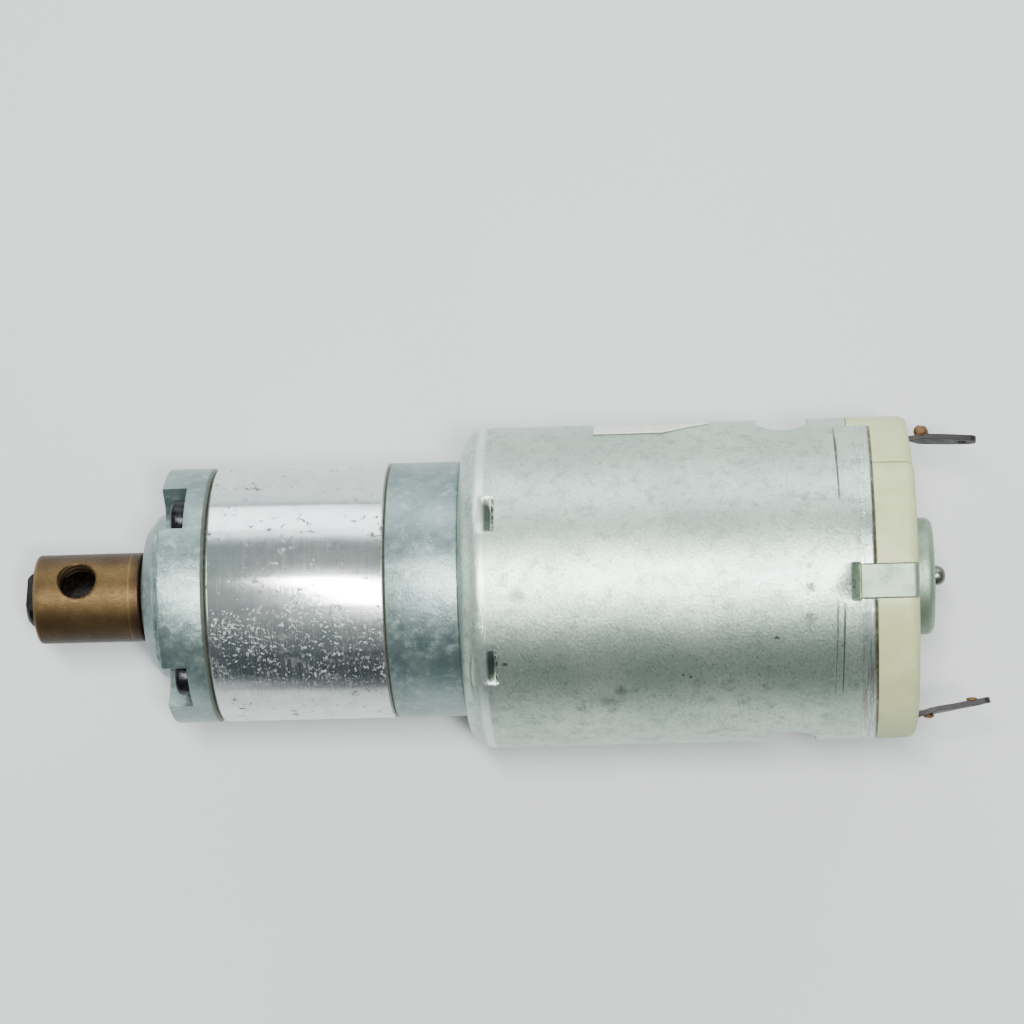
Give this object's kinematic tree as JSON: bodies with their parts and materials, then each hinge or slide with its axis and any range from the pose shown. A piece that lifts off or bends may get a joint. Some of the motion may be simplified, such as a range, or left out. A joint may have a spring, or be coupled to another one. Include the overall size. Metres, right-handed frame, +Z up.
{
  "type": "geared dc motor",
  "caption": "Cylindrical brushed motor in a steel can with a slimmer planetary gearbox on its front and a bronze hub with a radial tapped hole on the output shaft.",
  "frame": {"origin": "on the output shaft's axis, in the plane of the gearbox's flat front face, which has the two mounting holes", "axes": "+X along the shafts from the output end towards the motor's rear, +Z up through the end plate's ear, +Y to the side of the end cap's key"},
  "size_m": [0.1074, 0.0359, 0.0358],
  "materials": {
    "cast_zinc": "matte as-cast zinc alloy",
    "plated_barrel": "turned and bright zinc plated",
    "plated_sheet": "zinc plated sheet steel, mottled",
    "steel": "ground steel",
    "gear_steel": "oiled sintered gear steel",
    "bronze": "brown patina",
    "sintered_bronze": "porous bearing bronze",
    "black_screw": "black oxide",
    "nylon": "cream nylon",
    "ferrite": "dark ferrite",
    "lamination": "stacked electrical steel",
    "fibre": "red insulating fibre",
    "enamelled_wire": "enamelled copper wire",
    "copper": "bare copper",
    "carbon": "carbon brush",
    "spring_bronze": "phosphor bronze strip",
    "tinned_brass": "tarnished tin plate",
    "solder": "solder with flux residue",
    "paper": "plain white paper"
  },
  "bodies": {
    "housing": {"front_housing": "cast_zinc", "output_bush_front": "sintered_bronze", "output_bush_rear": "sintered_bronze", "output_thrust_washer": "steel", "ring_gear": "plated_barrel", "rear_adaptor": "cast_zinc", "input_washer": "steel", "gearbox_screws": "black_screw", "motor_mount_screws": "steel", "motor_can": "plated_sheet", "magnet_upper": "ferrite", "magnet_lower": "ferrite", "magnet_clips": "steel", "motor_front_bush": "sintered_bronze", "motor_rear_bush": "sintered_bronze", "end_cap": "nylon", "end_plate": "plated_sheet", "brush_upper": "carbon", "brush_lower": "carbon", "brush_arm_upper": "spring_bronze", "brush_arm_lower": "spring_bronze", "terminal_upper": "tinned_brass", "terminal_lower": "tinned_brass", "terminal_solder": "solder", "motor_label": "paper"},
    "rotor": {"motor_shaft": "steel", "motor_pinion": "gear_steel", "armature_core": "lamination", "insulator_front": "fibre", "insulator_rear": "fibre", "armature_coils": "enamelled_wire", "commutator_hub": "fibre", "commutator_segments": "copper", "rotor_spacers": "nylon"},
    "stage_1": {"stage_1_carrier": "gear_steel", "stage_1_pins": "steel", "stage_2_sun": "gear_steel"},
    "output": {"output_shaft": "steel", "output_carrier": "gear_steel", "stage_2_pins": "steel", "output_coupling": "bronze"},
    "stage_1_planet_1": {"stage_1_planet_1": "gear_steel"},
    "stage_1_planet_2": {"stage_1_planet_2": "gear_steel"},
    "stage_1_planet_3": {"stage_1_planet_3": "gear_steel"},
    "stage_2_planet_1": {"stage_2_planet_1": "gear_steel"},
    "stage_2_planet_2": {"stage_2_planet_2": "gear_steel"},
    "stage_2_planet_3": {"stage_2_planet_3": "gear_steel"}
  },
  "joints": [
    {"name": "rotor_spin", "type": "hinge", "parent": "housing", "child": "rotor", "pos_m": [0.05, 0, 0], "axis": [1, 0, 0], "continuous": true},
    {"name": "stage_1_spin", "type": "hinge", "parent": "housing", "child": "stage_1", "pos_m": [0.0172, 0, 0], "axis": [1, 0, 0], "continuous": true},
    {"name": "output_spin", "type": "hinge", "parent": "housing", "child": "output", "pos_m": [0, 0, 0], "axis": [1, 0, 0], "continuous": true},
    {"name": "stage_1_planet_1_spin", "type": "hinge", "parent": "stage_1", "child": "stage_1_planet_1", "pos_m": [0.02048, -0.00205, 0.00564], "axis": [1, 0, 0], "continuous": true},
    {"name": "stage_1_planet_2_spin", "type": "hinge", "parent": "stage_1", "child": "stage_1_planet_2", "pos_m": [0.02048, -0.00386, -0.0046], "axis": [1, 0, 0], "continuous": true},
    {"name": "stage_1_planet_3_spin", "type": "hinge", "parent": "stage_1", "child": "stage_1_planet_3", "pos_m": [0.02048, 0.00591, -0.00104], "axis": [1, 0, 0], "continuous": true},
    {"name": "stage_2_planet_1_spin", "type": "hinge", "parent": "output", "child": "stage_2_planet_1", "pos_m": [0.01293, -0.00205, 0.00564], "axis": [1, 0, 0], "continuous": true},
    {"name": "stage_2_planet_2_spin", "type": "hinge", "parent": "output", "child": "stage_2_planet_2", "pos_m": [0.01293, -0.00386, -0.0046], "axis": [1, 0, 0], "continuous": true},
    {"name": "stage_2_planet_3_spin", "type": "hinge", "parent": "output", "child": "stage_2_planet_3", "pos_m": [0.01293, 0.00591, -0.00104], "axis": [1, 0, 0], "continuous": true}
  ],
  "couplings": [
    {"joint": "stage_1_spin", "follows": "rotor_spin", "ratio": 0.25},
    {"joint": "output_spin", "follows": "rotor_spin", "ratio": 0.0625},
    {"joint": "stage_1_planet_1_spin", "follows": "rotor_spin", "ratio": -0.75},
    {"joint": "stage_1_planet_2_spin", "follows": "rotor_spin", "ratio": -0.75},
    {"joint": "stage_1_planet_3_spin", "follows": "rotor_spin", "ratio": -0.75},
    {"joint": "stage_2_planet_1_spin", "follows": "rotor_spin", "ratio": -0.1875},
    {"joint": "stage_2_planet_2_spin", "follows": "rotor_spin", "ratio": -0.1875},
    {"joint": "stage_2_planet_3_spin", "follows": "rotor_spin", "ratio": -0.1875}
  ]
}
